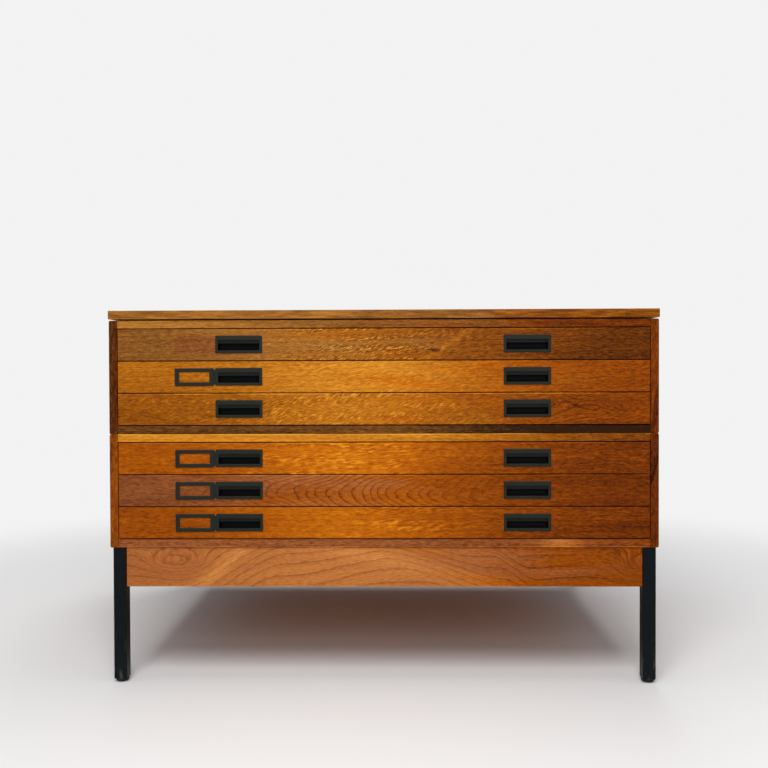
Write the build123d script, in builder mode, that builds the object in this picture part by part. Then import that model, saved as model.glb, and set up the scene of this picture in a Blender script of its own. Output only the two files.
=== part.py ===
from build123d import *
import os

# Plan chest: six shallow drawers in two stacked units, a loose top board and a
# stand with four square steel legs.
#
# All sizes are in millimetres. X runs along the front, Y from the front to the
# back and Z upwards. The origin lies on the floor under the middle of the chest.

# Case units
unit_width = 1098.0
unit_depth = 824.0
side_thick = 16.0
side_round = 3.0             # rounded long outer edges of the side panels
board_thick = 16.5           # top and base board of a unit
rail_setback = 2.0           # their front edges lie behind those of the sides
rail_arris = 0.8             # front edges of the boards and lower edges of the aprons
tongue_thick = 8.0           # tongues that join the boards to the sides
tongue_length = 6.0
tongue_stop = 30.0           # tongues end this far from the board's front and back
back_thick = 5.0
rebate = 8.0                 # how far the back panel laps over sides and boards
panel_clearance = 0.3        # back panel in its rebates

# Top board on its thin spacer battens
top_thick = 17.0
top_gap = 2.8                # shadow gap between the top board and the upper unit
top_overhang_side = 1.0
top_overhang_end = 3.0       # at the front and at the back
top_arris = 0.8
spacer_width = 40.0
spacer_inset_side = 30.0     # from the ends of the top board
spacer_inset_end = 26.0      # from its front and back edges
spacer_joint = 0.3           # between the ends of the cross spacers and the long ones

# Drawers
drawers_per_unit = 3
front_height = 63.4
front_thick = 18.0
front_arris = 0.5
drawer_gap = 1.2             # between fronts, and between a front and a board
drawer_end_gap = 1.5         # between a drawer and each side panel
drawer_stock = 12.0          # thickness of drawer sides and back
side_lift = 5.0              # lower edge of a drawer side above that of its front
side_drop = 6.4              # upper edge of a drawer side below that of its front
back_drop = 4.0              # upper edge of a drawer back below that of its sides
back_inset = 8.0             # drawer back from the rear ends of the drawer sides
housing_depth = 4.0          # drawer back let into the drawer sides
bottom_thick = 4.0
bottom_lift = 6.0            # drawer bottom above the lower edge of its sides
bottom_groove = 5.0          # depth of the grooves that hold the drawer bottom
groove_clearance = 0.2

# Dovetails between the drawer sides and the drawer fronts
tail_count = 3
tail_length = 14.0
tail_root = 9.5              # width of a tail where it leaves the side
tail_slope = 8.0             # one part sideways in this many along the tail

# Runners, which the drawer sides hang on, and their stops
runner_height = 8.0
runner_start = 45.0          # runner's front end behind the front of the case
runner_taper = 4.0           # bevel of its front end
runner_bite = 6.0            # how far it reaches into the drawer side
runner_rest = 0.3            # drawer side above the runner it rests on
runner_under = 1.0
runner_side_gap = 0.5        # runner's edge to the bottom of its groove
groove_start_gap = 3.0       # groove's blind front end before the runner
stop_length = 20.0
stop_height = 24.0
stop_width = 10.0
stop_clearance = 0.3

# Flush pulls, moulded in one piece: a flange, a cup and a grip bar
pull_inset = 243.5           # middle of a pull from the drawer's end
pull_rise = 1.0              # and above the middle of the drawer's front
pull_width = 94.0
pull_height = 35.2
flange_thick = 2.0
flange_corner = 1.0          # corners of the flange cut off
flange_bevel = 1.0
window_width = 83.0
window_height = 20.5
window_bottom_bar = 5.5      # flange below the window
window_bevel = 0.6
cup_depth = 13.2             # inside, behind the drawer's face
cup_wall = 1.8
cup_rise = 0.3               # cup's inside above the window's upper edge
scoop_radius = 7.2           # curve from the cup's floor up to its back
cup_roof_radius = 2.0
grip_height = 7.0
grip_thick = 3.4
grip_setback = 3.0
mortise_clearance = 0.2

# Label frames beside the left pulls
label_drawers = (2, 4, 5, 6)
label_width = 78.0
label_height = 35.4
label_thick = 2.4
label_drop = 0.6             # frame's centre below that of the pull
label_corner = 1.0
label_bevel = 0.7
label_window_width = 61.0
label_window_height = 20.6
card_depth = 0.9             # pocket for the card, behind the frame
card_lap = 3.0
tongue_gap = 3.5             # distance from the frame to the pull's flange
tongue_height = 29.0
tongue_rise = 1.2
tongue_clearance = 0.1

# Stand
stand_height = 274.0
stand_inset = 4.0            # stand inside the outline of the units
leg_size = 26.0
leg_wall = 2.0
leg_corner = 2.0
apron_height = 80.0
apron_thick = 18.0
apron_setback = 2.0          # apron's face behind the legs' outer faces
apron_gap = 1.0              # apron's end to the leg
lug_length = 42.0            # steel lugs welded to the legs behind the aprons
lug_height = 55.0
lug_thick = 3.0
glide_height = 8.0
glide_flare = 0.5            # glide's rim outside the tube
glide_flat = 7.0             # radius of the flat that stands on the floor
glide_shoulder = 11.5        # radius and height where the dome turns steeper
glide_shoulder_height = 1.9
glide_rim = 3.0
glide_plug = 18.0
plug_clearance = 0.1

# Loose hardwood pegs that locate the upper unit, and screws through the lugs
peg_width = 30.0
peg_thick = 9.0
peg_length = 24.0
peg_inset_side = 70.0        # peg's middle from the ends of the unit
peg_inset_end = 90.0         # and from its front and back
screw_radius = 2.5
screw_length = 15.0
screw_head = 9.0             # across the corners of the six-sided head
screw_head_thick = 3.5
hole_clearance = 0.1
hole_end_clearance = 0.3

# Values worked out from those above
unit_height = 2 * board_thick + drawers_per_unit * (front_height + drawer_gap) + drawer_gap
inner_width = unit_width - 2 * side_thick
case_front = -unit_depth / 2
case_back = unit_depth / 2
upper_level = stand_height + unit_height
top_level = upper_level + unit_height + top_gap
top_width = unit_width + 2 * top_overhang_side
top_depth = unit_depth + 2 * top_overhang_end

drawer_width = inner_width - 2 * drawer_end_gap
drawer_back = case_back - back_thick - stop_length - stop_clearance
front_rear = case_front + front_thick
side_height = front_height - side_lift - side_drop
box_width = drawer_width - 2 * drawer_stock
pull_offset = drawer_width / 2 - pull_inset
runner_width = drawer_end_gap + runner_bite
runner_level = side_lift + side_height / 2
bottom_level = side_lift + bottom_lift

cup_floor = -pull_height / 2 + window_bottom_bar
window_top = cup_floor + window_height
cup_roof = window_top + cup_rise
mortise_height = cup_roof - cup_floor + 2 * (cup_wall + mortise_clearance)
mortise_width = window_width + 2 * (cup_wall + mortise_clearance)
mortise_depth = cup_depth + cup_wall + mortise_clearance
mortise_level = (cup_roof + cup_floor) / 2

stand_width = unit_width - 2 * stand_inset
stand_depth = unit_depth - 2 * stand_inset
leg_x = (stand_width - leg_size) / 2
leg_y = (stand_depth - leg_size) / 2
lug_setback = apron_setback + apron_thick
lug_level = stand_height - lug_height / 2
lug_middle = leg_size + lug_length / 2
peg_x = unit_width / 2 - peg_inset_side
peg_y = unit_depth / 2 - peg_inset_end
screw_x = stand_width / 2 - lug_middle
screw_y = stand_depth / 2 - lug_middle

os.makedirs("parts", exist_ok=True)


def drawer_levels(unit_level):
    """Heights of the lower edges of a unit's drawer fronts, the top drawer first."""
    lowest = unit_level + board_thick + drawer_gap
    return [lowest + n * (front_height + drawer_gap) for n in reversed(range(drawers_per_unit))]


def pull_middle(level):
    """Height of the middle of the pulls of a drawer."""
    return level + front_height / 2 + pull_rise


def tail_points(level, n):
    """Corners of dovetail n: its root on the drawer front's rear face, its tip inside."""
    middle = level + side_lift + side_height * (n + 0.5) / tail_count
    root = tail_root / 2
    tip = root + tail_length / tail_slope
    tip_y = front_rear - tail_length
    lower = [(front_rear, middle - root), (tip_y, middle - tip)]
    upper = [(tip_y, middle + tip), (front_rear, middle + root)]
    return lower + upper


def side_panel(unit_level):
    """Left side panel of a unit, its long outer edges rounded."""
    inner_face = -inner_width / 2
    with BuildPart() as panel:
        with BuildSketch(Plane.XZ.offset(-case_front)) as section:
            with Locations((inner_face - side_thick / 2, unit_level + unit_height / 2)):
                Rectangle(side_thick, unit_height)
            fillet(section.vertices().sort_by(Axis.X)[:2], side_round)
        extrude(amount=-unit_depth)
        # Grooves for the tongues of the base board and the top board
        for board_level in (unit_level, unit_level + unit_height - board_thick):
            with BuildSketch(Plane.XY.offset(board_level + (board_thick - tongue_thick) / 2)):
                with Locations((inner_face - tongue_length / 2, 0)):
                    Rectangle(tongue_length, unit_depth - 2 * tongue_stop)
            extrude(amount=tongue_thick, mode=Mode.SUBTRACT)
        # Rebate for the back panel
        with BuildSketch(Plane.XY.offset(unit_level + board_thick - rebate)):
            with Locations((inner_face - rebate / 2, case_back - back_thick / 2)):
                Rectangle(rebate, back_thick)
        extrude(amount=unit_height - 2 * (board_thick - rebate), mode=Mode.SUBTRACT)
    return panel.part


def unit_board(level, rebate_level, holes=None, hole_depth=0.0):
    """Top or base board of a unit, with a tongue at each end and a rebate at the back.

    The sketch of holes is cut up from the underside, or down from the top where the
    depth is negative.
    """
    with BuildPart() as board:
        with BuildSketch(Plane.XY.offset(level)):
            with Locations((0, rail_setback / 2)):
                Rectangle(inner_width, unit_depth - rail_setback)
        extrude(amount=board_thick)
        front_edges = board.faces().sort_by(Axis.Y)[0].edges().filter_by(Axis.X)
        chamfer(front_edges, rail_arris)
        with BuildSketch(Plane.XY.offset(level + (board_thick - tongue_thick) / 2)):
            Rectangle(inner_width + 2 * tongue_length, unit_depth - 2 * tongue_stop)
        extrude(amount=tongue_thick)
        with BuildSketch(Plane.XY.offset(rebate_level)):
            with Locations((0, case_back - back_thick / 2)):
                Rectangle(inner_width, back_thick)
        extrude(amount=rebate, mode=Mode.SUBTRACT)
        if holes:
            with BuildSketch(Plane.XY.offset(level if hole_depth > 0 else level + board_thick)):
                add(holes)
            extrude(amount=hole_depth, mode=Mode.SUBTRACT)
    return board.part


def back_panel(unit_level):
    """Thin back panel of a unit, held in the rebates all round."""
    lap = rebate - panel_clearance
    with BuildPart() as panel:
        with BuildSketch(Plane.XZ.offset(-case_back)):
            with Locations((0, unit_level + unit_height / 2)):
                Rectangle(inner_width + 2 * lap, unit_height - 2 * board_thick + 2 * lap)
        extrude(amount=back_thick)
    return panel.part


def runner_set(unit_level):
    """Hardwood runners on both side panels, their front ends bevelled."""
    runner_front = case_front + runner_start
    runner_back = drawer_back + stop_clearance
    runner_x = (inner_width - runner_width) / 2
    with BuildPart() as runners:
        for level in drawer_levels(unit_level):
            with BuildSketch(Plane.XY.offset(level + runner_level - runner_height / 2)) as plan:
                with Locations(*[(x, (runner_front + runner_back) / 2) for x in (-runner_x, runner_x)]):
                    Rectangle(runner_width, runner_back - runner_front)
                front_corners = plan.vertices().sort_by(Axis.Y)[:4]
                chamfer(front_corners.sort_by(Axis.X)[1:3], runner_taper)
            extrude(amount=runner_height)
    return runners.part


def drawer_front(level):
    """Front board with its pull mortises, dovetail sockets and bottom groove."""
    mortise_middle = pull_middle(level) + mortise_level
    with BuildPart() as front:
        with BuildSketch(Plane.XZ.offset(-case_front)):
            with Locations((0, level + front_height / 2)):
                Rectangle(drawer_width, front_height)
        extrude(amount=-front_thick)
        chamfer(front.faces().sort_by(Axis.Y)[0].edges(), front_arris)
        with BuildSketch(Plane.XZ.offset(-case_front)):
            with Locations((-pull_offset, mortise_middle), (pull_offset, mortise_middle)):
                Rectangle(mortise_width, mortise_height)
        extrude(amount=-mortise_depth, mode=Mode.SUBTRACT)
        for end in (-1, 1):
            with BuildSketch(Plane.YZ.offset(end * drawer_width / 2)):
                for n in range(tail_count):
                    with BuildLine():
                        Polyline(*tail_points(level, n), close=True)
                    make_face()
            extrude(amount=-end * drawer_stock, mode=Mode.SUBTRACT)
        with BuildSketch(Plane.XY.offset(level + bottom_level)):
            with Locations((0, front_rear - bottom_groove / 2)):
                Rectangle(box_width + 2 * bottom_groove, bottom_groove)
        extrude(amount=bottom_thick + groove_clearance, mode=Mode.SUBTRACT)
    return front.part


def drawer_sides(level):
    """Both drawer sides, with tails, runner grooves, bottom grooves and back housings."""
    back_middle = drawer_back - back_inset - drawer_stock / 2
    outer_face = -drawer_width / 2
    inner_face = -box_width / 2
    side_middle = level + side_lift + side_height / 2
    groove_front = case_front + runner_start - groove_start_gap
    groove_under = level + runner_level - runner_height / 2 - runner_under
    groove_depth = runner_bite + runner_side_gap
    with BuildPart() as sides:
        with BuildSketch(Plane.YZ.offset(outer_face)):
            with Locations(((front_rear + drawer_back) / 2, side_middle)):
                Rectangle(drawer_back - front_rear, side_height)
            for n in range(tail_count):
                with BuildLine():
                    Polyline(*tail_points(level, n), close=True)
                make_face()
        extrude(amount=drawer_stock)
        # Groove in the outer face, open at the rear, that rides on the runner
        with BuildSketch(Plane.XY.offset(groove_under)):
            with Locations((outer_face + groove_depth / 2, (groove_front + drawer_back) / 2)):
                Rectangle(groove_depth, drawer_back - groove_front)
        extrude(amount=runner_height + runner_under + runner_rest, mode=Mode.SUBTRACT)
        # Groove in the inner face that holds the bottom, right through the lowest tail
        groove_end = front_rear - bottom_groove
        with BuildSketch(Plane.XY.offset(level + bottom_level)):
            with Locations((inner_face - bottom_groove / 2, (groove_end + drawer_back) / 2)):
                Rectangle(bottom_groove, drawer_back - groove_end)
        extrude(amount=bottom_thick + groove_clearance, mode=Mode.SUBTRACT)
        # Housing for the drawer back
        with BuildSketch(Plane.XY.offset(level + bottom_level + bottom_thick)):
            with Locations((inner_face - housing_depth / 2, back_middle)):
                Rectangle(housing_depth, drawer_stock)
        extrude(amount=side_height, mode=Mode.SUBTRACT)
        mirror(about=Plane.YZ)
    return sides.part


def drawer_back_board(level):
    """Drawer back, standing on the drawer bottom and housed in the sides."""
    foot = level + bottom_level + bottom_thick
    head = level + side_lift + side_height - back_drop
    with BuildPart() as board:
        with BuildSketch(Plane.XY.offset(foot)):
            with Locations((0, drawer_back - back_inset - drawer_stock / 2)):
                Rectangle(box_width + 2 * housing_depth, drawer_stock)
        extrude(amount=head - foot)
    return board.part


def drawer_bottom(level):
    """Thin drawer bottom, slid in from the rear."""
    bottom_front = front_rear - bottom_groove + groove_clearance
    with BuildPart() as bottom:
        with BuildSketch(Plane.XY.offset(level + bottom_level)):
            with Locations((0, (bottom_front + drawer_back) / 2)):
                Rectangle(box_width + 2 * (bottom_groove - groove_clearance), drawer_back - bottom_front)
        extrude(amount=bottom_thick)
    return bottom.part


def cup_section(level):
    """Inside of a pull's cup, cut front to back: the floor sweeps up to the back wall."""
    middle = pull_middle(level)
    with BuildSketch() as section:
        with BuildLine():
            Polyline(
                (case_front, middle + cup_roof),
                (case_front, middle + cup_floor),
                (case_front + cup_depth, middle + cup_floor),
                (case_front + cup_depth, middle + cup_roof),
                close=True,
            )
        make_face()
        lower_rear = section.vertices().sort_by(Axis((0, 0, 0), (1, -1, 0)))[-1]
        fillet(lower_rear, scoop_radius)
        upper_rear = section.vertices().sort_by(Axis((0, 0, 0), (1, 1, 0)))[-1]
        fillet(upper_rear, cup_roof_radius)
    return section.sketch


def flush_pulls(level):
    """Both pulls of a drawer: fingers go in below the grip bar and curl up behind it."""
    middle = pull_middle(level)
    section = cup_section(level)
    cup_end = -pull_offset - window_width / 2
    bar_radius = grip_thick / 2
    bar_y = case_front - flange_thick + grip_setback + bar_radius
    bar_foot = middle + window_top - grip_height + bar_radius
    bar_head = middle + cup_roof + cup_wall / 2
    with BuildPart() as pulls:
        # Flange on the drawer's face
        with BuildSketch(Plane.XZ.offset(-case_front)) as outline:
            with Locations((-pull_offset, middle)):
                Rectangle(pull_width, pull_height)
            chamfer(outline.vertices(), flange_corner)
        extrude(amount=flange_thick)
        # Cup behind it, an even wall round its inside
        with BuildSketch(Plane.YZ.offset(cup_end - cup_wall)):
            add(section)
            offset(amount=cup_wall, kind=Kind.INTERSECTION)
        extrude(amount=window_width + 2 * cup_wall)
        with BuildSketch(Plane.YZ.offset(cup_end)):
            add(section)
        extrude(amount=window_width, mode=Mode.SUBTRACT)
        # Window through the flange
        with BuildSketch(Plane.XZ.offset(-case_front)):
            with Locations((-pull_offset, middle + cup_floor + window_height / 2)):
                Rectangle(window_width, window_height)
        extrude(amount=flange_thick, mode=Mode.SUBTRACT)
        face = pulls.faces().sort_by(Axis.Y)[0]
        chamfer(face.outer_wire().edges(), flange_bevel)
        face = pulls.faces().sort_by(Axis.Y)[0]
        chamfer(face.inner_wires()[0].edges(), window_bevel)
        # Grip bar with a rounded lower edge, set back from the flange
        with BuildSketch(Plane.YZ.offset(cup_end)):
            with Locations((bar_y, (bar_foot + bar_head) / 2)):
                Rectangle(grip_thick, bar_head - bar_foot)
            with Locations((bar_y, bar_foot)):
                Circle(bar_radius)
        extrude(amount=window_width)
        mirror(about=Plane.YZ)
    return pulls.part


def label_frame(level, pull_x):
    """Frame for a drawer label, with a pocket behind it and a tongue to the pull."""
    pull_edge = pull_x - pull_width / 2
    frame_right = pull_edge - tongue_gap
    frame_x = frame_right - label_width / 2
    middle = pull_middle(level) - label_drop
    with BuildPart() as frame:
        with BuildSketch(Plane.XZ.offset(-case_front)) as outline:
            with Locations((frame_x, middle)):
                Rectangle(label_width, label_height)
            chamfer(outline.vertices(), label_corner)
        extrude(amount=label_thick)
        with BuildSketch(Plane.XZ.offset(-case_front)):
            with Locations((frame_x, middle)):
                Rectangle(label_window_width, label_window_height)
        extrude(amount=label_thick, mode=Mode.SUBTRACT)
        chamfer(frame.faces().sort_by(Axis.Y)[0].edges(), label_bevel)
        # Pocket behind the frame, open at its left end, that the card slides into
        pocket_left = frame_x - label_width / 2
        pocket_right = frame_x + label_window_width / 2 + card_lap
        with BuildSketch(Plane.XZ.offset(-case_front)):
            with Locations(((pocket_left + pocket_right) / 2, middle)):
                Rectangle(pocket_right - pocket_left, label_window_height + 2 * card_lap)
        extrude(amount=card_depth, mode=Mode.SUBTRACT)
        # Tongue
        tongue_right = pull_edge - tongue_clearance
        with BuildSketch(Plane.XZ.offset(-case_front)):
            with Locations(((frame_right - label_bevel + tongue_right) / 2, middle)):
                Rectangle(tongue_right - frame_right + label_bevel, tongue_height)
        extrude(amount=tongue_rise)
    return frame.part


def leg_front_left():
    """Steel leg: a square tube, closed on top, with lugs and a plate in its inner corner."""
    left = -stand_width / 2
    front = -stand_depth / 2
    lug_x = left + lug_middle
    lug_y = front + lug_middle
    with BuildPart() as leg:
        with BuildSketch(Plane.XY.offset(glide_height)):
            with Locations((-leg_x, -leg_y)):
                RectangleRounded(leg_size, leg_size, leg_corner)
        extrude(amount=stand_height - glide_height)
        with BuildSketch(Plane.XY.offset(glide_height)):
            with Locations((-leg_x, -leg_y)):
                Rectangle(leg_size - 2 * leg_wall, leg_size - 2 * leg_wall)
        extrude(amount=stand_height - glide_height - leg_wall, mode=Mode.SUBTRACT)
        # Lugs behind the front apron and the side apron
        with BuildSketch(Plane.XY.offset(stand_height - lug_height)):
            with Locations((lug_x, front + lug_setback + lug_thick / 2)):
                Rectangle(lug_length, lug_thick)
            with Locations((left + lug_setback + lug_thick / 2, lug_y)):
                Rectangle(lug_thick, lug_length)
        extrude(amount=lug_height)
        # Plate between them, under the lower unit
        plate_size = leg_size + lug_length - lug_setback
        with BuildSketch(Plane.XY.offset(stand_height - lug_thick)):
            with Locations((left + lug_setback, front + lug_setback)):
                Rectangle(plate_size, plate_size, align=(Align.MIN, Align.MIN))
        extrude(amount=lug_thick)
        # Screw holes
        with BuildSketch(Plane.XZ.offset(-front - lug_setback)):
            with Locations((lug_x, lug_level)):
                Circle(screw_radius + hole_clearance)
        extrude(amount=-lug_thick, mode=Mode.SUBTRACT)
        with BuildSketch(Plane.YZ.offset(left + lug_setback)):
            with Locations((lug_y, lug_level)):
                Circle(screw_radius + hole_clearance)
        extrude(amount=lug_thick, mode=Mode.SUBTRACT)
        with BuildSketch(Plane.XY.offset(stand_height - lug_thick)):
            with Locations((lug_x, lug_y)):
                Circle(screw_radius + hole_clearance)
        extrude(amount=lug_thick, mode=Mode.SUBTRACT)
    return leg.part


def coach_screw(washer_face):
    """Six-sided head on the near side of a plane, shank along the plane's normal."""
    with BuildPart() as screw:
        with BuildSketch(washer_face):
            Circle(screw_radius)
        extrude(amount=screw_length)
        with BuildSketch(washer_face):
            RegularPolygon(screw_head / 2, 6)
        extrude(amount=-screw_head_thick)
    return screw.part


# Top board and the battens that hold it off the upper unit
with BuildPart() as top_board:
    with BuildSketch(Plane.XY.offset(top_level)):
        Rectangle(top_width, top_depth)
    extrude(amount=top_thick)
    chamfer(top_board.edges(), top_arris)
top_board.part.label = "top_board"
export_step(top_board.part, "parts/top_board.step")

spacer_length = top_width - 2 * spacer_inset_side
spacer_depth = top_depth - 2 * (spacer_inset_end + spacer_width + spacer_joint)
spacer_y = top_depth / 2 - spacer_inset_end - spacer_width / 2
spacer_x = top_width / 2 - spacer_inset_side - spacer_width / 2
with BuildPart() as top_spacers:
    with BuildSketch(Plane.XY.offset(top_level - top_gap)):
        with Locations((0, -spacer_y), (0, spacer_y)):
            Rectangle(spacer_length, spacer_width)
    extrude(amount=top_gap)
    with BuildSketch(Plane.XY.offset(top_level - top_gap)):
        with Locations((-spacer_x, 0), (spacer_x, 0)):
            Rectangle(spacer_width, spacer_depth)
    extrude(amount=top_gap)
top_spacers.part.label = "top_spacers"
export_step(top_spacers.part, "parts/top_spacers.step")

# The two case units
peg_hole = peg_length / 2 + hole_end_clearance
with BuildSketch() as peg_holes:
    with Locations(*[(x, y) for x in (-peg_x, peg_x) for y in (-peg_y, peg_y)]):
        Rectangle(peg_width + 2 * hole_clearance, peg_thick + 2 * hole_clearance)
screw_hole = screw_length - lug_thick + hole_end_clearance
with BuildSketch() as screw_holes:
    with Locations(*[(x, y) for x in (-screw_x, screw_x) for y in (-screw_y, screw_y)]):
        Circle(screw_radius + hole_clearance)
for unit, unit_level in (("lower", stand_height), ("upper", upper_level)):
    left_side = side_panel(unit_level)
    left_side.label = f"{unit}_left_side"
    export_step(left_side, f"parts/{left_side.label}.step")

    with BuildPart() as right_side:
        mirror(left_side, about=Plane.YZ)
    right_side.part.label = f"{unit}_right_side"
    export_step(right_side.part, f"parts/{right_side.part.label}.step")

    if unit == "lower":
        base_holes = (screw_holes.sketch, screw_hole)
        top_holes = (peg_holes.sketch, -peg_hole)
    else:
        base_holes = (peg_holes.sketch, peg_hole)
        top_holes = ()
    unit_base = unit_board(unit_level, unit_level + board_thick - rebate, *base_holes)
    unit_base.label = f"{unit}_base_board"
    export_step(unit_base, f"parts/{unit_base.label}.step")

    board_level = unit_level + unit_height - board_thick
    unit_top = unit_board(board_level, board_level, *top_holes)
    unit_top.label = f"{unit}_top_board"
    export_step(unit_top, f"parts/{unit_top.label}.step")

    panel = back_panel(unit_level)
    panel.label = f"{unit}_back_panel"
    export_step(panel, f"parts/{panel.label}.step")

    runners = runner_set(unit_level)
    runners.label = f"{unit}_runners"
    export_step(runners, f"parts/{runners.label}.step")

with BuildPart() as locating_pegs:
    with BuildSketch(Plane.XY.offset(upper_level - peg_length / 2)):
        with Locations(*[(x, y) for x in (-peg_x, peg_x) for y in (-peg_y, peg_y)]):
            Rectangle(peg_width, peg_thick)
    extrude(amount=peg_length)
locating_pegs.part.label = "locating_pegs"
export_step(locating_pegs.part, "parts/locating_pegs.step")

# Blocks that the rear ends of the drawer sides stop against
levels = drawer_levels(upper_level) + drawer_levels(stand_height)
stop_x = (inner_width - stop_width) / 2
with BuildPart() as drawer_stops:
    for level in levels:
        with BuildSketch(Plane.XY.offset(level + runner_level - stop_height / 2)):
            with Locations(*[(x, case_back - back_thick - stop_length / 2) for x in (-stop_x, stop_x)]):
                Rectangle(stop_width, stop_length)
        extrude(amount=stop_height)
drawer_stops.part.label = "drawer_stops"
export_step(drawer_stops.part, "parts/drawer_stops.step")

# Drawers, numbered from the top
for number, level in enumerate(levels, start=1):
    pieces = {
        "front": drawer_front(level),
        "sides": drawer_sides(level),
        "back": drawer_back_board(level),
        "bottom": drawer_bottom(level),
        "pulls": flush_pulls(level),
    }
    if number in label_drawers:
        pieces["label_frame"] = label_frame(level, -pull_offset)
    for piece_name, piece in pieces.items():
        piece.label = f"drawer_{number}_{piece_name}"
        export_step(piece, f"parts/{piece.label}.step")

# Stand: aprons between the legs, drilled on the inside for the screws
with BuildPart() as front_apron:
    with BuildSketch(Plane.XZ.offset(stand_depth / 2 - apron_setback)):
        with Locations((0, stand_height - apron_height / 2)):
            Rectangle(stand_width - 2 * (leg_size + apron_gap), apron_height)
    extrude(amount=-apron_thick)
    chamfer(front_apron.faces().sort_by(Axis.Z)[0].edges().filter_by(Axis.X), rail_arris)
    with BuildSketch(Plane.XZ.offset(stand_depth / 2 - lug_setback)):
        with Locations((-screw_x, lug_level), (screw_x, lug_level)):
            Circle(screw_radius + hole_clearance)
    extrude(amount=screw_hole, mode=Mode.SUBTRACT)
front_apron.part.label = "front_apron"
export_step(front_apron.part, "parts/front_apron.step")

with BuildPart() as rear_apron:
    mirror(front_apron.part, about=Plane.XZ)
rear_apron.part.label = "rear_apron"
export_step(rear_apron.part, "parts/rear_apron.step")

with BuildPart() as left_apron:
    with BuildSketch(Plane.YZ.offset(-stand_width / 2 + apron_setback)):
        with Locations((0, stand_height - apron_height / 2)):
            Rectangle(stand_depth - 2 * (leg_size + apron_gap), apron_height)
    extrude(amount=apron_thick)
    chamfer(left_apron.faces().sort_by(Axis.Z)[0].edges().filter_by(Axis.Y), rail_arris)
    with BuildSketch(Plane.YZ.offset(-stand_width / 2 + lug_setback)):
        with Locations((-screw_y, lug_level), (screw_y, lug_level)):
            Circle(screw_radius + hole_clearance)
    extrude(amount=-screw_hole, mode=Mode.SUBTRACT)
left_apron.part.label = "left_apron"
export_step(left_apron.part, "parts/left_apron.step")

with BuildPart() as right_apron:
    mirror(left_apron.part, about=Plane.YZ)
right_apron.part.label = "right_apron"
export_step(right_apron.part, "parts/right_apron.step")

# Legs: one is made, the others mirror it
with BuildPart() as front_left_leg:
    add(leg_front_left())
with BuildPart() as front_right_leg:
    mirror(front_left_leg.part, about=Plane.YZ)
with BuildPart() as rear_left_leg:
    mirror(front_left_leg.part, about=Plane.XZ)
with BuildPart() as rear_right_leg:
    mirror(rear_left_leg.part, about=Plane.YZ)
legs = {
    "front_left_leg": front_left_leg,
    "front_right_leg": front_right_leg,
    "rear_left_leg": rear_left_leg,
    "rear_right_leg": rear_right_leg,
}
for leg_name, leg in legs.items():
    leg.part.label = leg_name
    export_step(leg.part, f"parts/{leg_name}.step")

# Glides: a domed foot with a rim under the tube, and a square plug inside it
glide_radius = leg_size / 2 + glide_flare
with BuildPart() as glide:
    with BuildSketch(Plane.XZ):
        with BuildLine():
            Polyline(
                (0, 0),
                (glide_flat, 0),
                (glide_shoulder, glide_shoulder_height),
                (glide_radius, glide_height - glide_rim),
                (glide_radius, glide_height),
                (0, glide_height),
                close=True,
            )
        make_face()
    revolve(axis=Axis.Z)
    with BuildSketch(Plane.XY.offset(glide_height)):
        plug_size = leg_size - 2 * (leg_wall + plug_clearance)
        Rectangle(plug_size, plug_size)
    extrude(amount=glide_plug)
with BuildPart() as feet:
    with Locations(*[(x, y) for x in (-leg_x, leg_x) for y in (-leg_y, leg_y)]):
        add(glide.part)
feet.part.label = "feet"
export_step(feet.part, "parts/feet.step")

# Screws up into the lower unit, and outwards into the aprons
screw_faces = []
for side_x in (-1, 1):
    for side_y in (-1, 1):
        plate_centre = (side_x * screw_x, side_y * screw_y, stand_height - lug_thick)
        end_lug = (side_x * screw_x, side_y * (stand_depth / 2 - lug_setback - lug_thick), lug_level)
        side_lug = (side_x * (stand_width / 2 - lug_setback - lug_thick), side_y * screw_y, lug_level)
        screw_faces.append(Plane(origin=plate_centre, z_dir=(0, 0, 1)))
        screw_faces.append(Plane(origin=end_lug, z_dir=(0, side_y, 0)))
        screw_faces.append(Plane(origin=side_lug, z_dir=(side_x, 0, 0)))
screws = [coach_screw(face) for face in screw_faces]
with BuildPart() as stand_screws:
    add(screws)
stand_screws.part.label = "stand_screws"
export_step(stand_screws.part, "parts/stand_screws.step")
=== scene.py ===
# %% [markdown]
# # Dressing a plan chest
#
# The chest holds large flat sheets: two units with three wide, shallow drawers each, a loose top
# board, and a stand with four square steel legs. Its boards, joints and drawers come from a packed
# model, whose pieces are never moved here. This script gives each piece its finish, makes the
# pieces whose roundness shows, and sets up a plain studio with the camera.

# %% Load the chest
import math
from dataclasses import dataclass

import bpy
import numpy as np
from mathutils import Matrix, Vector


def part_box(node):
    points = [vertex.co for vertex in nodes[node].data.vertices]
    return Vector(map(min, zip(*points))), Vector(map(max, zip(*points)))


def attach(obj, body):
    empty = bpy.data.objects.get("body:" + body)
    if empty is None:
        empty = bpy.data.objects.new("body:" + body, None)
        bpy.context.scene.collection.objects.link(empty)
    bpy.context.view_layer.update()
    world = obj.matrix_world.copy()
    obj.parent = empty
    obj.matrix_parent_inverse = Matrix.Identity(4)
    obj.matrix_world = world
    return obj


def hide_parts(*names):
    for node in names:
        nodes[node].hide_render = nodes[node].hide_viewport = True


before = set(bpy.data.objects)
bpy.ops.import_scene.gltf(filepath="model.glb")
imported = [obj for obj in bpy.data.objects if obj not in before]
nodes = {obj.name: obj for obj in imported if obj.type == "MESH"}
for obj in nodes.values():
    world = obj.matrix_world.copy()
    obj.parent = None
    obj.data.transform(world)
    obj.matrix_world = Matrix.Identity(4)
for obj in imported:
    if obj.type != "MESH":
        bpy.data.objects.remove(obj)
DRAWERS = range(1, 7)
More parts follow.
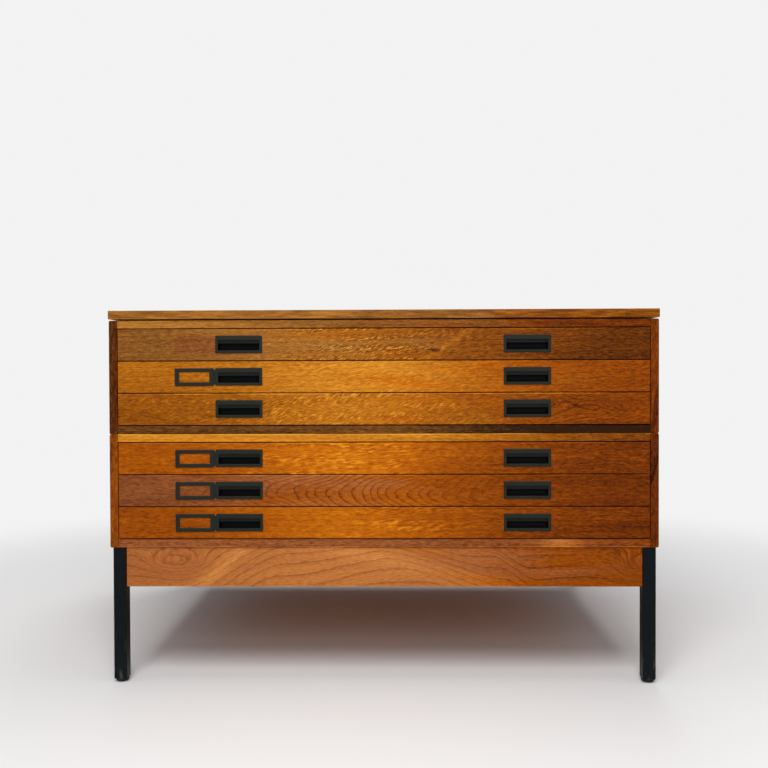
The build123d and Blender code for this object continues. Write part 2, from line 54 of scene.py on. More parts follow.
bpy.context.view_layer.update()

# %% [markdown]
# ## Sums instead of wires
#
# A material is a tree of nodes, and drawing such a tree by hand soon gets lost in wires. A small
# class holds one socket and answers to the signs + - * / and **, so that a formula can be written
# as a formula. Each sign adds one Math node. Reflected forms, such as `1 - mask`, work as well.

# %% A socket that can be used in a sum
class Wire:
    """One output of a node in a material."""

    def __init__(self, bench, socket):
        self.bench = bench
        self.socket = socket

    def __add__(self, other):
        return self.bench.maths("ADD", self, other)

    def __sub__(self, other):
        return self.bench.maths("SUBTRACT", self, other)

    def __mul__(self, other):
        return self.bench.maths("MULTIPLY", self, other)

    def __truediv__(self, other):
        return self.bench.maths("DIVIDE", self, other)

    def __pow__(self, other):
        return self.bench.maths("POWER", self, other)

    def __radd__(self, other):
        return self.bench.maths("ADD", other, self)

    def __rsub__(self, other):
        return self.bench.maths("SUBTRACT", other, self)

    def __rmul__(self, other):
        return self.bench.maths("MULTIPLY", other, self)


print("a wire knows the signs + - * / and **")

# %% [markdown]
# ## One method for every node
#
# The bench is where a material is put together. `node` takes a node's type, its settings, and the
# values or wires of its sockets. The short methods after it only name the few nodes that the
# finishes share, such as noise, a soft step, a colour ramp and a blend of two colours.

# %% The bench
class Bench:
    """A material, or the world, and the nodes in it."""

    def __init__(self, name, owner=None):
        self.owner = owner or bpy.data.materials.new(name)
        self.owner.use_nodes = True
        self.tree = self.owner.node_tree
        self.tree.nodes.clear()

    def node(self, kind, settings=None, sockets=None, output=0):
        made = self.tree.nodes.new(kind)
        for key, value in (settings or {}).items():
            setattr(made, key, value)
        for key, value in (sockets or {}).items():
            if isinstance(value, Wire):
                self.tree.links.new(value.socket, made.inputs[key])
            else:
                made.inputs[key].default_value = value
        return Wire(self, made.outputs[output]) if len(made.outputs) else made

    def maths(self, operation, *values):
        return self.node("ShaderNodeMath", {"operation": operation}, dict(enumerate(values)))

    def point(self, kind="Object"):
        """Where the surface is in its own piece, in metres, or a direction with "Generated"."""
        return self.node("ShaderNodeTexCoord", output=kind)

    def vector(self, x, y, z):
        return self.node("ShaderNodeCombineXYZ", None, {0: x, 1: y, 2: z})

    def parts(self, vector):
        """The three numbers of a vector."""
        split = self.node("ShaderNodeSeparateXYZ", None, {0: vector}).socket.node
        return [Wire(self, socket) for socket in split.outputs]

    def noise(self, place, stretch, seed, detail=2.0, harsh=0.5):
        """Smooth noise from 0 to 1, about 0.5, with features 1/stretch metres long."""
        shift = (seed * 7.3, seed * 3.1, seed * 5.9)
        sockets = {"Vector": place, "Location": shift, "Scale": stretch}
        spread = self.node("ShaderNodeMapping", None, sockets)
        sockets = {"Vector": spread, "Scale": 1.0, "Detail": detail, "Roughness": harsh}
        return self.node("ShaderNodeTexNoise", None, sockets)

    def step(self, value, low, high):
        """0 below low and 1 above high, with a soft slope between them."""
        settings = {"interpolation_type": "SMOOTHSTEP"}
        sockets = {"Value": value, "From Min": low, "From Max": high}
        return self.node("ShaderNodeMapRange", settings, sockets)

    def bell(self, value, middle, reach):
        """1 at the middle, and nearly 0 two reaches away from it."""
        away = (value - middle) / reach
        return self.maths("EXPONENT", away * away * -1.0)

    def pick(self, share, first, second):
        """The first number where share is 0 and the second where it is 1."""
        return first + (second - first) * share

    def ramp(self, value, stops):
        """A colour for each value, from (position, colour) pairs."""
        made = self.node("ShaderNodeValToRGB", None, {"Fac": value})
        band = made.socket.node.color_ramp
        for position, _ in stops[2:]:
            band.elements.new(position)
        for element, (position, colour) in zip(band.elements, stops):
            element.position = position
            element.color = (*colour, 1.0)
        return made

    def blend(self, share, first, second):
        """The first colour where share is 0 and the second where it is 1."""
        first, second = [c if isinstance(c, Wire) else (*c, 1.0) for c in (first, second)]
        return self.node("ShaderNodeMix", {"data_type": "RGBA"}, {0: share, 6: first, 7: second}, output=2)

    def relief(self, height, strength, depth):
        """A normal bent by a height from 0 to 1 that is worth depth metres."""
        sockets = {"Height": height, "Strength": strength, "Distance": depth}
        return self.node("ShaderNodeBump", None, sockets)

    def skin(self, colour, rough, normal, **others):
        """The finished surface, from values for the sockets of the main shader."""
        named = {"Base Color": colour, "Roughness": rough, "Normal": normal}
        named.update({key.replace("_", " "): value for key, value in others.items()})
        shader = self.node("ShaderNodeBsdfPrincipled", None, named)
        self.node("ShaderNodeOutputMaterial", None, {"Surface": shader})
        return self.owner


print("the bench has methods for", [word for word in vars(Bench) if not word.startswith("_")])

# %% [markdown]
# ## Solids from rings
#
# The pulls, the glides and the screws are all turned or moulded forms. Each could be a cylinder or a
# box with bevels, but a bevel can't scoop out a cup. Here a form is a stack of closed outlines with
# the same number of points, and the skin between two outlines is a band of four-sided faces. The
# first and the last outline are closed by a fan of triangles to their middle.

# %% A skin over a stack of outlines
SHARP_EDGE = math.radians(40)    # edges that turn more than this stay crisp


def solid_of_rings(rings):
    """Vertices and faces of a closed solid from outlines, as an array (rings, points, 3).

    Vertex j of ring i has the number i * points + j, and face (i, j) joins j and j + 1 of the rings
    i and i + 1. Two more vertices, at the middles of the end rings, close the ends.
    """
    count, points, _ = rings.shape
    number = np.arange(count * points).reshape(count, points)
    ahead = np.roll(number, -1, axis=1)
    bands = np.stack([number[:-1], ahead[:-1], ahead[1:], number[1:]], axis=-1).reshape(-1, 4)
    middles = rings[[0, -1]].mean(axis=1)
    first, last = count * points, count * points + 1
    start = np.stack([np.full(points, first), ahead[0], number[0]], axis=-1)
    end = np.stack([np.full(points, last), number[-1], ahead[-1]], axis=-1)
    vertices = np.concatenate([rings.reshape(-1, 3), middles])
    return vertices, bands.tolist() + start.tolist() + end.tolist()


def add_piece(name, solids, body, stands_for, material):
    """One object from several solids, riding on a body in place of a piece of the packed model."""
    start = 0
    vertices = []
    faces = []
    for points, around in solids:
        vertices.append(points)
        faces += [[start + corner for corner in face] for face in around]
        start += len(points)
    mesh = bpy.data.meshes.new(name)
    mesh.from_pydata(np.concatenate(vertices).tolist(), [], faces)
    mesh.shade_smooth()
    mesh.set_sharp_from_angle(angle=SHARP_EDGE)
    mesh.materials.append(material)
    made = bpy.data.objects.new(name, mesh)
    bpy.context.scene.collection.objects.link(made)
    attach(made, body)
    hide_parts(stands_for)
    return made


print("a solid of 2 rings with 8 points has", len(solid_of_rings(np.zeros((2, 8, 3)))[1]), "faces")

# %% [markdown]
# ## Which way the wood runs
#
# Wood differs along and across its grain, so every wood finish starts from three distances in each
# board: along the grain, across it, and into the board. They are measured from the middle of the
# board in Object coordinates, so that they stay with the board when its drawer slides.

# %% Distances in a board
def middle_of(piece):
    low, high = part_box(piece)
    return (low + high) / 2


def board_axes(bench, piece, grain):
    """Wires for along, across and into a board whose grain is two letters, such as XZ."""
    both = {0: bench.point(), 1: middle_of(piece)}
    away = bench.node("ShaderNodeVectorMath", {"operation": "SUBTRACT"}, both)
    axes = dict(zip("XYZ", bench.parts(away)))
    along, across = grain
    (into,) = set("XYZ") - set(grain)
    return axes[along], axes[across], axes[into]


print("the first drawer front has its middle at", [round(v, 4) for v in middle_of("drawer_1_front")])

# %% [markdown]
# ## How a board is cut from its log
#
# The lines on a board are where it cuts the tree's growth rings, as contour lines show where a map cuts a
# hill. A board beside the pith shows nested arches, and one far from it straight lines. The ring level at
# a point is its distance from the pith, less the taper of the trunk, plus slow waves, a small hill for
# each eye and a slanting bank for each fold. `Cut` holds these numbers, and those of the colour, the wear,
# and the painted highlights and shade. A board names only what sets it apart from a plain one.

# %% The cut of a board
SHIVER_SIZE = (45, 160, 160)    # trembles in a metre, along, across and into the board


@dataclass
class Cut:
    """Lengths in metres. Strengths are shares of the range from the darkest wood to the palest."""

    grain: str = "XZ"            # along and across
    tones: tuple = ("orange", "golden")    # the two palettes that it mixes
    drift: tuple = (0.0, 0.0)    # how fast the second palette takes over to the right, and from where
    lightness: float = 0.5       # tone before any mark
    seed: float = 1.0            # picks the leaf of veneer
    pith: tuple = (-0.5, 0.05)   # above the board's middle, and behind it
    taper: float = 0.0           # how fast the rings narrow along the board
    ring: float = 0.011          # width of a growth ring
    wave: float = 0.012          # how far the rings wander
    wave_size: tuple = (2.2, 9.0)    # waves in a metre, along and across
    shiver: float = 0.0006       # how far the rings tremble between two pores
    lean: float = 0.0            # how far the fibres rise towards the right
    eyes: tuple = ()             # (along, across, half length, half width, height)
    folds: tuple = ()            # (along, slant, width, height)
    lines: float = 0.10          # dark line at the end of each ring
    line_spot: tuple = (0.0, 2.0)    # where the lines are, and how far they reach
    bands: float = 0.10          # broad bands along the grain
    streaks: float = 0.42        # fine streaks
    streak_size: tuple = (85.0, 380.0)    # streaks in a metre, along and across
    patches: float = 0.12        # soft patches
    flecks: float = 0.0          # pale flecks where the fibres change direction
    fleck_size: tuple = (80.0, 300.0)    # flecks in a metre, along and across
    fleck_lean: float = 0.4      # how far they rise towards the right
    fleck_spot: tuple = (0.0, 0.2)    # where they are, and how far they reach
    glows: tuple = ()            # (paler by how much, where along, slant, reach); some are partly painted highlights
    knots: tuple = ()            # (along, across, half length, half width, how dark)
    ends: tuple = (0.08, 0.08)   # darker towards the left and the right end; partly painted shade
    lipping: float = 0.0         # thickness of an upright strip on the front edge
    lip_shade: float = 0.0       # how much darker that strip is
    plies: int = 0               # layers of a plywood board
    ghost: bool = False          # the mark left by a label frame
    rub_and_painted_light: tuple = (0.0, 0.0)      # pale wear and a painted highlight on the lower and the upper arris; below 0, painted shade
    painted_gap_shade: float = 0.0           # painted shade in the gaps: on the lower arris and on the edges behind it


def ring_level(bench, cut, along, across, into):
    """The ring level, and how far the fibres wander from straight lines.

    The wandering is slow waves, hills for the eyes and banks for the folds. The level is the
    distance from the pith line, less the taper, plus the wandering and a fine shiver.
    """
    place = bench.vector(along, across, into)
    stretch = (*cut.wave_size, cut.wave_size[1])
    wander = (bench.noise(place, stretch, cut.seed, 1.0) - 0.5) * (2 * cut.wave) - along * cut.lean
    for eye_along, eye_across, half_length, half_width, height in cut.eyes:
        hill = bench.bell(along, eye_along, half_length) * bench.bell(across, eye_across, half_width)
        wander = wander + hill * height
    for fold_along, slant, width, height in cut.folds:
        bank = bench.step(along - across * slant, fold_along - width, fold_along + width)
        wander = wander + bank * height
    above, behind = cut.pith
    aside = across - above
    below = into + behind
    level = bench.maths("SQRT", aside * aside + below * below) - along * cut.taper + wander
    fine = bench.noise(place, SHIVER_SIZE, cut.seed + 7, 3.0, 0.6) - 0.5
    return level + fine * (2 * cut.shiver), wander


print("a plain cut has rings", Cut().ring, "m wide")

# %% [markdown]
# ## Palettes of the woods
#
# The veneer is a red-brown tropical wood under a satin lacquer that has yellowed with age. It runs
# from nearly black-brown in the pores to gold where the light catches the fibres. Each palette is
# a ramp of five colours, in linear values: golden for the drawers that have faded most, orange for
# the saturated ones, rosy for the boards that have kept their pink, and honey for the top board. The
# insides are pale: beech for the drawer boxes, and birch for the plywood.

# %% Palettes
STOPS = (0.0, 0.25, 0.5, 0.75, 1.0)
TONES = {
    "golden": (
        (0.028, 0.006, 0.0005), (0.17, 0.040, 0.0015), (0.36, 0.108, 0.004), (0.60, 0.225, 0.016),
        (0.76, 0.34, 0.035),
    ),
    "orange": (
        (0.024, 0.004, 0.0003), (0.16, 0.029, 0.0005), (0.35, 0.078, 0.001), (0.56, 0.156, 0.003),
        (0.72, 0.26, 0.015),
    ),
    "rosy": (
        (0.028, 0.007, 0.002), (0.16, 0.043, 0.011), (0.34, 0.102, 0.027), (0.50, 0.175, 0.040),
        (0.66, 0.28, 0.08),
    ),
    "honey": (
        (0.025, 0.008, 0.0015), (0.15, 0.053, 0.008), (0.33, 0.125, 0.020), (0.53, 0.225, 0.030),
        (0.70, 0.35, 0.07),
    ),
    "beech": (
        (0.16, 0.075, 0.03), (0.33, 0.18, 0.085), (0.50, 0.30, 0.15), (0.62, 0.41, 0.23),
        (0.74, 0.54, 0.34),
    ),
    "birch": (
        (0.20, 0.11, 0.05), (0.38, 0.24, 0.12), (0.55, 0.37, 0.20), (0.66, 0.47, 0.28), (0.76, 0.58, 0.38),
    ),
}
for wood_name, colours in TONES.items():
    print(wood_name, "runs from", colours[0], "to", colours[-1])

# %% [markdown]
# ## From rings to a board
#
# The tone of a point starts at the board's lightness. Each ring darkens it slowly and then lets go,
# as late wood does. Fine streaks bend as the rings do, because they are read at across plus the
# wandering instead of at across. Flecks show where the fibres lean to and fro, and pores are short
# dark dashes. The ramp turns the tone into colour at the end, so every mark stays in the palette.

# %% Marks of use, painted highlights and painted shade
# Each pair says how far from its arris, edge or face a mark begins, and where it is full.
RUB_AND_HIGHLIGHT_LOWER = (0.0024, 0.0008)
RUB_AND_HIGHLIGHT_UPPER = (0.0022, 0.0006)
SHADE_LOWER = (0.0015, 0.0004)
SHADE_EDGE = (0.0004, 0.0001)
SHADE_BEHIND = (0.0004, 0.0020)
SHADE_FADES = (0.003, 0.010)
GHOST_SOFT = 0.0015          # half the soft rim of the label frame's mark


def ghost_mark(bench, along, across):
    """1 where a label frame once kept the light off the wood."""
    low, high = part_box("drawer_2_label_frame")
    middle, half = (low + high) / 2, (high - low) / 2
    lift = middle[2] - middle_of("drawer_2_front")[2]
    aside = bench.maths("ABSOLUTE", along - middle[0])
    above = bench.maths("ABSOLUTE", across - lift)
    inside = bench.step(aside, half[0] + GHOST_SOFT, half[0] - GHOST_SOFT)
    return inside * bench.step(above, half[2] + GHOST_SOFT, half[2] - GHOST_SOFT)


def arris_rub_and_highlight(bench, cut, along, up, half):
    """Pale wear and a painted highlight along the lower and the upper arris, broken up by slow noise; a
    strength below 0 paints shade.
    """
    broken = bench.noise(bench.vector(along, 0.0, 0.0), (9, 1, 1), cut.seed + 9, 4.0)
    patchy = bench.step(broken, 0.42, 0.62)
    lower = bench.step(up, RUB_AND_HIGHLIGHT_LOWER[0] - half, RUB_AND_HIGHLIGHT_LOWER[1] - half) * cut.rub_and_painted_light[0]
    upper = bench.step(up, half - RUB_AND_HIGHLIGHT_UPPER[0], half - RUB_AND_HIGHLIGHT_UPPER[1]) * cut.rub_and_painted_light[1]
    return (lower + upper) * (patchy * 0.8 + 0.2)


def painted_edge_shade(bench, up, into, half, face):
    """Painted shade of the gaps: 1 on the lower arris, less on the edges just behind the face, and little
    farther back.
    """
    lower = bench.step(up, SHADE_LOWER[0] - half, SHADE_LOWER[1] - half)
    edge = bench.step(bench.maths("ABSOLUTE", up), half - SHADE_EDGE[0], half - SHADE_EDGE[1])
    behind_face = bench.step(into, face + SHADE_BEHIND[0], face + SHADE_BEHIND[1]) * 0.75
    fading = bench.step(into, face + SHADE_FADES[0], face + SHADE_FADES[1]) * 0.55
    return bench.maths("MAXIMUM", lower, edge * (behind_face - fading))


print("the label frame's mark is soft over", 2 * GHOST_SOFT, "m")

# %% Rings, bands, streaks and spots
PATCH_SIZE = (3.5, 22, 22)   # features in a metre, along, across and into the board
BAND_SIZE = (4, 70, 20)
HUE_SIZE = (4.5, 26, 26)
PORE_SIZE = (90, 1500, 900)
FINE_LINES = 4.3             # finer lines in each ring
PORE_DARK = 0.14
PLY_DARK = 0.25              # every second ply is darker by this


def ground_tone(bench, cut, along, place, flow, level):
    """The tone of a plain board, with its ring ends, patches and bands by themselves."""
    ring_end = bench.maths("FRACT", level / cut.ring) ** 7
    fine_line = bench.maths("FRACT", level * (FINE_LINES / cut.ring)) ** 4
    patch = bench.noise(place, PATCH_SIZE, cut.seed + 1, 4.0, 0.6) - 0.5
    band = bench.noise(flow, BAND_SIZE, cut.seed + 6, 3.0, 0.6) - 0.5
    streak = bench.noise(flow, (*cut.streak_size, 200), cut.seed + 2, 5.0, 0.66) - 0.5
    tone = cut.lightness + patch * (2 * cut.patches) + band * (2 * cut.bands) + streak * (2 * cut.streaks)
    drawn = bench.bell(along, *cut.line_spot) * cut.lines
    return tone - drawn * (ring_end * (patch * 2 + 1) + fine_line * 0.35), ring_end, patch, band


def glows_and_knots(bench, cut, tone, along, across):
    """The tone with pale slanting glows, some of them partly painted highlights, and dark oval knots, each
    as a bell curve.
    """
    for amount, glow_along, slant, reach in cut.glows:
        tone = tone + bench.bell(along - across * slant, glow_along, reach) * amount
    for knot_along, knot_across, half_length, half_width, dark in cut.knots:
        oval = bench.bell(along, knot_along, half_length) * bench.bell(across, knot_across, half_width)
        tone = tone - oval * dark
    return tone


def flecked(bench, cut, tone, along, fibre, into, band):
    """The tone with pale flecks, which lean against the fibres and keep to the paler bands."""
    reach = bench.bell(along, *cut.fleck_spot) * bench.step(band, -0.12, 0.1)
    leaning = bench.vector(along, fibre - along * cut.fleck_lean, into)
    fleck = bench.step(bench.noise(leaning, (*cut.fleck_size, 60), cut.seed + 3, 3.0, 0.6), 0.44, 0.66)
    return tone + (fleck - 0.35) * reach * cut.flecks


print("a plain board darkens by", PORE_DARK, "in its pores")

# %% The finish of a wooden board
LIPPING_SHIFT = 0.3          # takes the lipping from another part of the leaf


def wood(piece, cut):
    """The material of one board: its cut and its wear give a tone, and palettes colour it."""
    bench = Bench(piece + "_wood")
    low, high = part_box(piece)
    half = {letter: (b - a) / 2 for letter, a, b in zip("XYZ", low, high)}
    along, across, into = board_axes(bench, piece, cut.grain)
    up = into if cut.grain == "XY" else across
    if cut.lipping:
        strip = bench.step(along, cut.lipping - half["Y"], cut.lipping - half["Y"] - 0.0002)
        turned = (across + LIPPING_SHIFT, into, along)
        along, across, into = [bench.pick(strip, *pair) for pair in zip((along, across, into), turned)]
    level, wander = ring_level(bench, cut, along, across, into)
    place = bench.vector(along, across, into)
    fibre = across + wander
    flow = bench.vector(along, fibre, into)
    tone, ring_end, patch, band = ground_tone(bench, cut, along, place, flow, level)
    if cut.lipping:
        tone = tone - strip * cut.lip_shade
    tone = glows_and_knots(bench, cut, tone, along, across)
    if cut.flecks:
        tone = flecked(bench, cut, tone, along, fibre, into, band)
    pore = bench.step(bench.noise(flow, PORE_SIZE, cut.seed + 4, 1.0), 0.58, 0.72)
    tone = tone - pore * PORE_DARK
    reach = half[cut.grain[0]]
    # the darker ends are partly the veneer's tone and partly painted shade where the light falls off
    tone = tone - bench.step(along, 0.1 * reach, -reach) * cut.ends[0]
    tone = tone - bench.step(along, -0.1 * reach, reach) * cut.ends[1]
    if cut.plies:
        thin = "XYZ"[int(np.argmin(high - low))]
        layer = (into / (2 * half[thin]) + 0.5) * cut.plies
        tone = tone - bench.step(bench.maths("PINGPONG", layer, 1.0), 0.45, 0.55) * PLY_DARK
    # pale wear and a painted highlight on the arrises; a strength below 0 paints shade
    if cut.rub_and_painted_light != (0.0, 0.0):
        tone = tone + arris_rub_and_highlight(bench, cut, along, up, half["Z"])
    # painted shade in the gaps between the boards
    if cut.painted_gap_shade:
        tone = tone - painted_edge_shade(bench, up, into, half["Z"], -half["Y"]) * cut.painted_gap_shade
    palettes = [bench.ramp(tone, tuple(zip(STOPS, TONES[name]))) for name in cut.tones]
    speed, start = cut.drift
    hue = bench.noise(place, HUE_SIZE, cut.seed + 5, 3.0) + (along - start) * speed
    colour = bench.blend(bench.step(hue, 0.3, 0.7), *palettes)
    if cut.ghost:
        mark = ghost_mark(bench, along, across)
        kept = bench.ramp(tone - 0.03, tuple(zip(STOPS, TONES["rosy"])))
        colour = bench.blend(mark * 0.7, colour, kept)
    relief = bench.relief(1 - pore * 0.7 - ring_end * 0.3, 0.25, 0.0003)
    rough = pore * 0.15 + (patch * 0.15 + 0.42)
    return bench.skin(colour, rough, relief, Specular_IOR_Level=0.045)


print("a board takes its name and its cut")

# %% [markdown]
# ## The boards, one by one
#
# No two boards of the chest are alike, because each comes from another leaf of veneer. The second
# and fourth drawers are golden with bright flecks in the middle, the fifth shows nested arches, and
# the front of the stand has an oval eye near its left end and slanting folds beside it.

# %% Cuts of the visible boards
SIDE = {
    "grain": "YZ", "lipping": 0.006, "lightness": 0.45, "ends": (0.0, 0.0), "ring": 0.012, "lines": 0.2,
}
APRON = {"tones": ("rosy", "orange"), "pith": (-0.02, 0.2), "wave": 0.03}
CUTS = {
    "top_board": Cut(
        "XY", ("honey", "golden"), drift=(0.5, 0.5), lightness=0.44, seed=31, pith=(0.1, 0.3), streaks=0.5,
        streak_size=(22, 260), patches=0.08, ends=(0.0, 0.12), rub_and_painted_light=(0.14, 0.0),
    ),
    "drawer_1_front": Cut(
        tones=("honey", "golden"), drift=(0.9, -0.05), lightness=0.395, seed=1, flecks=0.62,
        fleck_spot=(-0.03, 0.17), fleck_size=(95, 330), lean=0.03, ends=(0.07, 0.24), ghost=True,
        glows=((0.11, -0.15, 0.0, 0.2), (0.12, 0.13, 1.5, 0.012)),
        eyes=((0.108, -0.012, 0.012, 0.006, 0.012),), knots=((0.106, -0.012, 0.010, 0.0035, 0.4),),
        painted_gap_shade=0.85, rub_and_painted_light=(0.0, 0.2),
    ),
    "drawer_2_front": Cut(
        tones=("golden", "orange"), drift=(0.8, 0.12), lightness=0.60, seed=2, flecks=0.3,
        fleck_spot=(-0.05, 0.25), fleck_size=(55, 360), fleck_lean=0.15, lean=0.05,
        glows=((0.14, -0.05, 0.0, 0.22),), ends=(0.11, 0.24), painted_gap_shade=0.85, rub_and_painted_light=(0.0, 0.1),
    ),
    "drawer_3_front": Cut(
        tones=("golden", "orange"), drift=(0.8, 0.2), lightness=0.485, seed=3, flecks=0.38,
        fleck_spot=(-0.1, 0.35), fleck_size=(75, 280), fleck_lean=0.5, wave=0.02, wave_size=(7, 16),
        glows=((0.12, -0.1, 0.0, 0.2),), pith=(0.004, 0.03), taper=-0.2, ring=0.0048, lines=0.26,
        line_spot=(0.40, 0.10), ends=(0.12, 0.17), painted_gap_shade=0.85, rub_and_painted_light=(0.0, 0.45),
    ),
    "drawer_4_front": Cut(
        tones=("orange", "orange"), lightness=0.50, seed=4, flecks=0.6, fleck_spot=(-0.1, 0.17),
        fleck_size=(55, 300), fleck_lean=0.12, wave=0.015, wave_size=(7, 16),
        glows=((0.25, -0.08, 0.0, 0.17),), ends=(0.03, 0.25), painted_gap_shade=0.85, rub_and_painted_light=(0.0, 0.25),
    ),
    "drawer_5_front": Cut(
        tones=("rosy", "orange"), drift=(0.8, -0.1), lightness=0.475, seed=5, pith=(-0.004, 0.045),
        taper=0.2, ring=0.0044, wave=0.010, wave_size=(9, 16), shiver=0.0010, lines=0.40,
        line_spot=(-0.06, 0.24), streaks=0.38, glows=((0.08, -0.05, 0.0, 0.2),), ends=(0.16, 0.25),
        painted_gap_shade=0.85, rub_and_painted_light=(0.0, 0.3),
    ),
    "drawer_6_front": Cut(
        tones=("orange", "orange"), lightness=0.51, seed=6, flecks=0.35, fleck_spot=(0.02, 0.14),
        fleck_size=(60, 320), fleck_lean=0.2, glows=((0.15, -0.08, 0.0, 0.2),), ends=(0.11, 0.27),
        painted_gap_shade=0.85, rub_and_painted_light=(0.0, 0.15),
    ),
    "upper_top_board": Cut(
        tones=("honey", "orange"), drift=(0.9, 0.05), lightness=0.38, seed=11,
        glows=((0.2, -0.5, 0.0, 0.25),), ends=(0.0, 0.12), painted_gap_shade=0.5, rub_and_painted_light=(0.0, 0.25),
    ),
    # the right end is darkened as painted shade under the third drawer
    "upper_base_board": Cut(
        tones=("honey", "honey"), lightness=0.215, seed=12, ends=(0.0, 0.3), painted_gap_shade=0.5, rub_and_painted_light=(0.0, 0.15),
    ),
    "lower_top_board": Cut(
        tones=("golden", "golden"), lightness=0.70, seed=13, ends=(0.0, 0.42), painted_gap_shade=0.6, rub_and_painted_light=(0.0, 0.6),
    ),
    # the glow near the right end is a painted highlight, and so is the pale lower arris
    "lower_base_board": Cut(
        tones=("rosy", "orange"), drift=(1.0, 0.3), lightness=0.44, seed=14, streaks=0.5,
        glows=((0.3, 0.355, 0.0, 0.035),), ends=(0.03, 0.14), rub_and_painted_light=(0.4, 0.2),
    ),
    "upper_left_side": Cut(
        tones=("honey", "orange"), seed=21, pith=(-0.03, 0.04), taper=0.03, lip_shade=0.31, **SIDE,
    ),
    "upper_right_side": Cut(
        tones=("orange", "orange"), seed=22, pith=(0.04, 0.05), taper=-0.035, lip_shade=0.20, **SIDE,
    ),
    "lower_left_side": Cut(
        tones=("orange", "golden"), seed=23, pith=(0.06, 0.06), taper=-0.03, lip_shade=0.09, **SIDE,
    ),
    "lower_right_side": Cut(
        tones=("orange", "orange"), seed=24, pith=(-0.05, 0.04), taper=0.04, lip_shade=0.255, **SIDE,
    ),
    # the pale lower arris is a painted highlight, and the dark upper arris is painted shade under the unit
    "front_apron": Cut(
        tones=("rosy", "orange"), drift=(0.9, 0.3), lightness=0.62, seed=41, pith=(-0.12, 0.2), wave=0.010,
        wave_size=(3.0, 7), shiver=0.0014, ring=0.012, lines=0.30, line_spot=(-0.05, 0.6), streaks=0.38,
        bands=0.12, ends=(0.08, 0.22), rub_and_painted_light=(0.30, -0.45),
        eyes=((-0.420, 0.010, 0.055, 0.022, 0.04), (0.515, 0.0, 0.05, 0.03, 0.045)),
        folds=((-0.30, 0.5, 0.10, -0.06), (-0.08, 0.8, 0.12, -0.02), (0.12, -1.6, 0.09, 0.045),
               (0.262, -0.6, 0.03, 0.025)),
        glows=((0.14, -0.12, 0.0, 0.25), (0.2, -0.325, 1.1, 0.020), (0.12, 0.06, -4.0, 0.07),
               (-0.03, 0.3, 0.0, 0.1)),
    ),
    "rear_apron": Cut("XZ", lightness=0.52, seed=42, **APRON),
    "left_apron": Cut("YZ", lightness=0.5, seed=43, **APRON),
    "right_apron": Cut("YZ", lightness=0.5, seed=44, **APRON),
}
print(len(CUTS), "visible boards")

# %% [markdown]
# ## The insides
#
# An open drawer shows its pale box: solid sides and back, and a thin plywood bottom whose layers
# show at its rear edge. The back panels of the units are plywood too. Runners, stops, spacers and
# pegs are planed offcuts of a darker hardwood. They all take the same wood finish with other cuts.

# %% Cuts of the inner boards
INNER = {"ends": (0.0, 0.0), "streaks": 0.3, "patches": 0.1, "lines": 0.24}
BEECH = ("beech", "beech")
BIRCH = ("birch", "birch")
for n in DRAWERS:
    CUTS[f"drawer_{n}_sides"] = Cut("YZ", BEECH, lightness=0.5, seed=50 + n, pith=(0.2, 1.0), **INNER)
    CUTS[f"drawer_{n}_back"] = Cut("XZ", BEECH, lightness=0.47, seed=60 + n, **INNER)
    CUTS[f"drawer_{n}_bottom"] = Cut(
        "XY", BIRCH, lightness=0.52, seed=70 + n, pith=(0.05 * n, 0.06), taper=0.06, plies=3, **INNER,
    )
for unit, seed, pith, taper in (("upper", 81, (0.02, 0.05), 0.05), ("lower", 83, (-0.05, 0.09), -0.04)):
    CUTS[f"{unit}_back_panel"] = Cut(
        "XZ", ("birch", "beech"), lightness=0.42, seed=seed, pith=pith, taper=taper, plies=3, **INNER,
    )
    CUTS[f"{unit}_runners"] = Cut("YZ", ("beech", "honey"), lightness=0.42, seed=seed + 1, **INNER)
CUTS["drawer_stops"] = Cut("YZ", ("beech", "honey"), lightness=0.4, seed=91, **INNER)
CUTS["locating_pegs"] = Cut("ZX", BEECH, lightness=0.42, seed=92, **INNER)
CUTS["top_spacers"] = Cut("XY", ("honey", "honey"), lightness=0.25, seed=93, **INNER)


def dress(piece, material):
    """Gives a piece of the packed model its finish."""
    slots = nodes[piece].data.materials
    slots.clear()
    slots.append(material)


for piece, cut in CUTS.items():
    dress(piece, wood(piece, cut))
print(len(CUTS), "boards have their wood")

# %% [markdown]
# ## Black plastic
#
# The pulls and the label frames are moulded in a dark grey-green plastic, matt from a finely etched mould.
# Hands have polished the rims a little, and dust lies on what faces upwards. Deep in the cups of the pulls
# the colour is painted near black, as painted shade. The dust could be painted on by height, but reading
# the direction of the surface puts it only where it can lie.

# %% Plastic
PLASTIC_GREYS = ((0.0150, 0.0165, 0.0125), (0.0200, 0.0220, 0.0170))
# painted shade: the near black deep in the cups of the pulls
CUP_PAINTED_SHADE = (0.0012, 0.0015, 0.0017)
DUST = (0.20, 0.185, 0.16)


